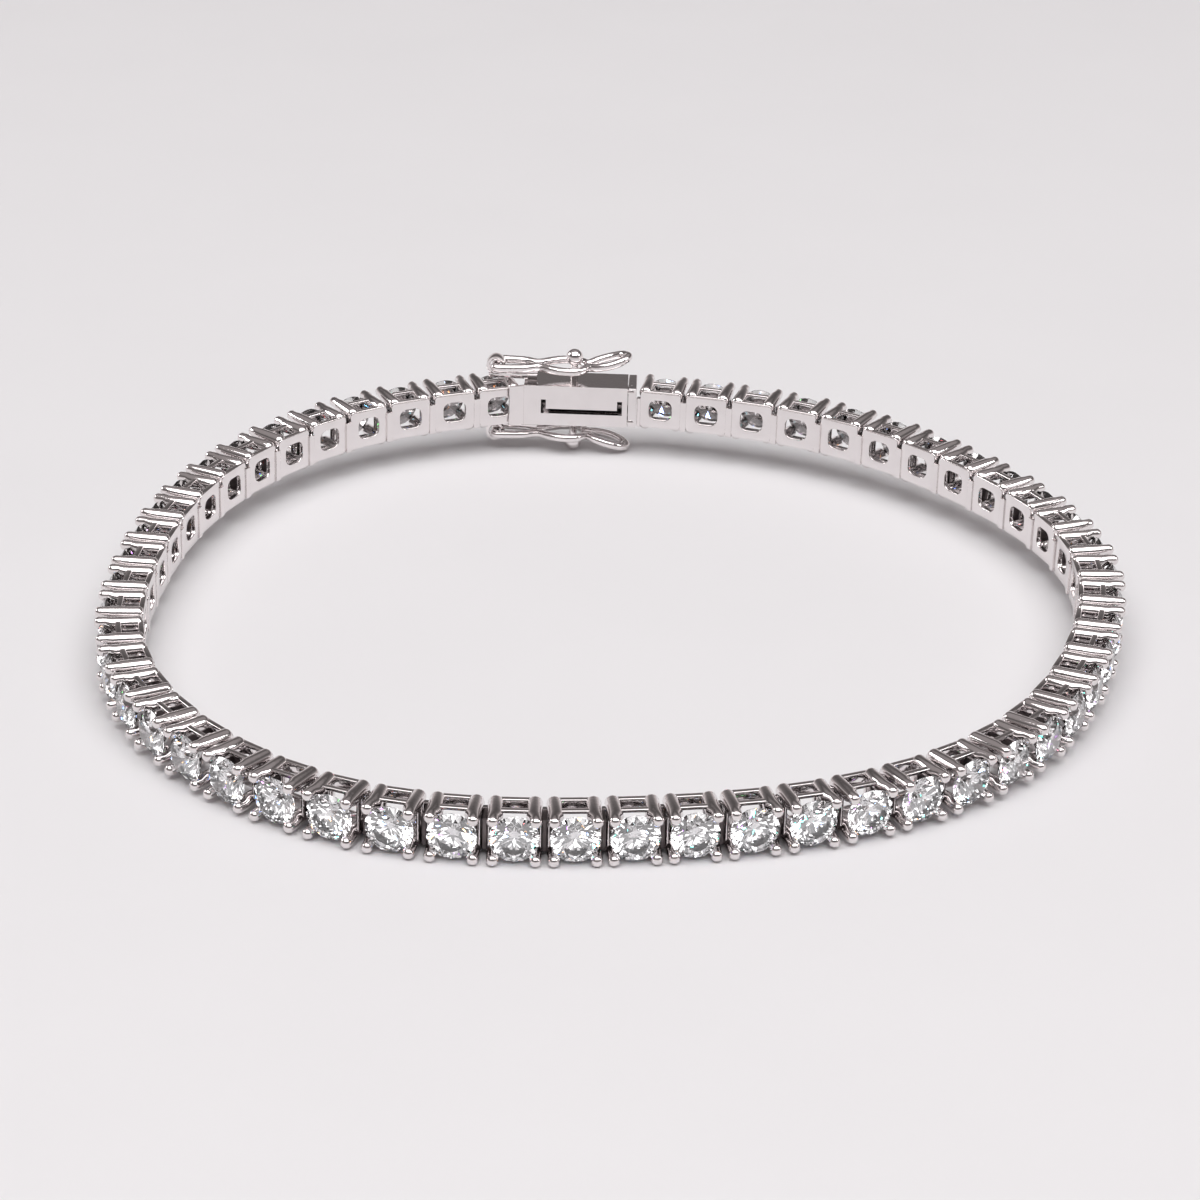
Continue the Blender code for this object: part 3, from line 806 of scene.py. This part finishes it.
def make_catch(name, side_z, body, node):
    """One catch on its body. Side is 1 above the box and -1 below it."""
    half_line = [(x * LATCH_L, y * LATCH_W / 2, side_z * z * LATCH_RISE) for x, y, z in LATCH_HALF]
    loop = closed_loop(half_line + [(x, -y, z) for x, y, z in reversed(half_line[:-1])], LOOP_STEPS)
    curve = bpy.data.curves.new(name, "CURVE")
    curve.dimensions = "3D"
    curve.bevel_depth = WIRE_R
    curve.bevel_resolution = WIRE_ROUND
    spline = curve.splines.new("POLY")
    spline.points.add(len(loop) - 1)
    for point, co in zip(spline.points, loop):
        point.co = (*co, 1)
    spline.use_cyclic_u = True
    wire = bpy.data.objects.new(name, curve)
    bpy.context.scene.collection.objects.link(wire)
    only(wire)
    bpy.ops.object.convert(target="MESH")
    wire = bpy.context.object
    level_z = LATCH_Z if side_z > 0 else -BOX_H - LATCH_Z
    wire.data.transform(on_clasp @ Matrix.Translation((-AXIS_X, MIDDLE_Y, level_z)))
    outwards(wire)
    smooth(wire, angle=60)
    wire.data.materials.append(white_gold)
    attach(wire, body)
    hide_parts(node)
    print(name, len(wire.data.polygons), "faces")


make_catch("upper_catch", 1, "upper_latch", "latch_upper")
make_catch("lower_catch", -1, "lower_latch", "latch_lower")

# %% [markdown]
# ## The table and the light
# A wide pale table fills the picture. It is much larger than the picture shows, so that its edge is never
# seen. Its paper has a very faint grain and hardly any shine.

# %% table
TABLE_SIDE = 3.0  # metres
bpy.ops.mesh.primitive_plane_add(size=TABLE_SIDE, location=(0, 0, 0))
table = bpy.context.object
table.name = "table"
paper = bpy.data.materials.new("pale_table")
paper.use_nodes = True
nodes, links = paper.node_tree.nodes, paper.node_tree.links
shader = nodes["Principled BSDF"]
shader.inputs["Roughness"].default_value = 0.75
shader.inputs["Specular IOR Level"].default_value = 0.2
grain = nodes.new("ShaderNodeTexNoise")
grain.inputs["Scale"].default_value = 60
tint = nodes.new("ShaderNodeValToRGB")
tint.color_ramp.elements[0].color = (0.805, 0.80, 0.81, 1)
tint.color_ramp.elements[1].color = (0.83, 0.825, 0.835, 1)
spot = nodes.new("ShaderNodeTexCoord")
links.new(spot.outputs["Object"], grain.inputs["Vector"])
links.new(grain.outputs["Fac"], tint.inputs["Fac"])
links.new(tint.outputs["Color"], shader.inputs["Base Color"])
table.data.materials.append(paper)
print("table", TABLE_SIDE, "m wide")

# %% [markdown]
# Metal shows what is around it, so the room is what makes it look polished: a big soft window overhead, two
# small ones at the sides, and walls whose brightness changes with height. An image of a real room would do
# this too, but a few bands are easier to steer. The stones and the camera each see the room in their own
# plain tone. Three more windows are seen by the stones alone and make them glow.

# %% light
ROOM_GREEN, ROOM_BLUE = 0.92, 0.915  # next to a red of 1, which makes the room faintly warm


def room(bands, in_stones, pale):
    """The room as bands of brightness by height for metal, and as a plain tone for stones and camera each."""
    world = bpy.data.worlds.new("room")
    bpy.context.scene.world = world
    world.use_nodes = True
    nodes, links = world.node_tree.nodes, world.node_tree.links
    backdrop, looked_at, seen_in_stones = (
        nodes["Background"], nodes.new("ShaderNodeBackground"), nodes.new("ShaderNodeBackground"),
    )
    way, split = nodes.new("ShaderNodeTexCoord"), nodes.new("ShaderNodeSeparateXYZ")
    ramp = nodes.new("ShaderNodeValToRGB")
    links.new(way.outputs["Generated"], split.inputs["Vector"])
    links.new(split.outputs["Z"], ramp.inputs["Fac"])
    points = ramp.color_ramp.elements
    while len(points) < len(bands):
        points.new(0.5)
    for point, (height, bright) in zip(points, bands):
        point.position = height
        point.color = (bright, bright * ROOM_GREEN, bright * ROOM_BLUE, 1)
    links.new(ramp.outputs["Color"], backdrop.inputs["Color"])
    seen_in_stones.inputs["Color"].default_value = (*in_stones, 1)
    looked_at.inputs["Color"].default_value = (*pale, 1)
    path = nodes.new("ShaderNodeLightPath")
    mix, last = nodes.new("ShaderNodeMixShader"), nodes.new("ShaderNodeMixShader")
    links.new(path.outputs["Is Transmission Ray"], mix.inputs["Fac"])
    links.new(backdrop.outputs["Background"], mix.inputs[1])
    links.new(seen_in_stones.outputs["Background"], mix.inputs[2])
    links.new(path.outputs["Is Camera Ray"], last.inputs["Fac"])
    links.new(mix.outputs["Shader"], last.inputs[1])
    links.new(looked_at.outputs["Background"], last.inputs[2])
    links.new(last.outputs["Shader"], nodes["World Output"].inputs["Surface"])


room(
    bands=[(0.0, 0.8), (0.14, 0.5), (0.3, 0.2), (0.52, 0.09), (0.7, 0.3), (1.0, 0.35)],
    in_stones=(0.36, 0.355, 0.36), pale=(0.8, 0.79, 0.8),
)


def soft_light(name, place, wide, tall, watts, colour=(1, 1, 1)):
    """A rectangular lamp aimed at the middle of the loop. Places and sides are in metres."""
    data = bpy.data.lights.new(name, "AREA")
    data.shape = "RECTANGLE"
    data.size, data.size_y = wide, tall
    data.energy = watts
    data.color = colour
    lamp = bpy.data.objects.new(name, data)
    bpy.context.scene.collection.objects.link(lamp)
    lamp.location = place
    lamp.rotation_euler = Vector(place).to_track_quat("Z", "Y").to_euler()
    return lamp


WINDOW_WATTS, GLOW_WATTS = 1.5, 0.65
soft_light("overhead", (0.02, -0.26, 0.78), wide=1.15, tall=0.8, watts=7.7, colour=(1, 0.99, 0.995))
for side_name, place in (("left_window", (-0.75, 0.2, 0.4)), ("right_window", (0.7, -0.1, 0.5))):
    soft_light(side_name, place, wide=0.3, tall=0.25, watts=WINDOW_WATTS).visible_diffuse = False
for number, place in enumerate(((0.0, -0.85, 0.2), (-0.25, -0.75, 0.6), (0.25, -0.6, 0.8))):
    glow = soft_light(f"stone_glow_{number}", place, wide=0.3, tall=0.25, watts=GLOW_WATTS)
    glow.visible_diffuse = glow.visible_glossy = glow.visible_camera = False
print("room and windows set")

# %% [markdown]
# A cut diamond splits light into colours. The renderer bends all colours alike, so small coloured lamps
# that only the stones can see stand in for the split rays.

# %% fire in the stones
FIRE = [  # turn about the middle and height, in degrees, and the colour
    (200, 35, (0.1, 0.25, 1.0)), (250, 55, (1.0, 0.35, 0.08)), (300, 40, (0.1, 0.9, 0.7)),
    (330, 62, (1.0, 0.08, 0.1)), (20, 38, (1.0, 0.3, 0.5)), (70, 50, (0.3, 0.45, 1.0)),
    (110, 33, (0.15, 0.5, 1.0)), (150, 58, (0.2, 1.0, 0.25)), (275, 20, (0.2, 0.4, 1.0)),
    (225, 18, (1.0, 0.5, 0.2)), (315, 22, (0.6, 0.2, 1.0)), (90, 20, (0.2, 0.8, 1.0)),
]
FIRE_AWAY, FIRE_SIDE, FIRE_WATTS = 0.5, 0.04, 0.3
for number, (turned, height, colour) in enumerate(FIRE):
    a, h = math.radians(turned), math.radians(height)
    place = Vector((math.cos(a) * math.cos(h), math.sin(a) * math.cos(h), math.sin(h))) * FIRE_AWAY
    lamp = soft_light(f"fire_{number}", place, FIRE_SIDE, FIRE_SIDE, FIRE_WATTS, colour)
    lamp.visible_diffuse = lamp.visible_glossy = lamp.visible_camera = False
bpy.context.scene.view_settings.view_transform = "Standard"
print(len(FIRE), "coloured lamps set")
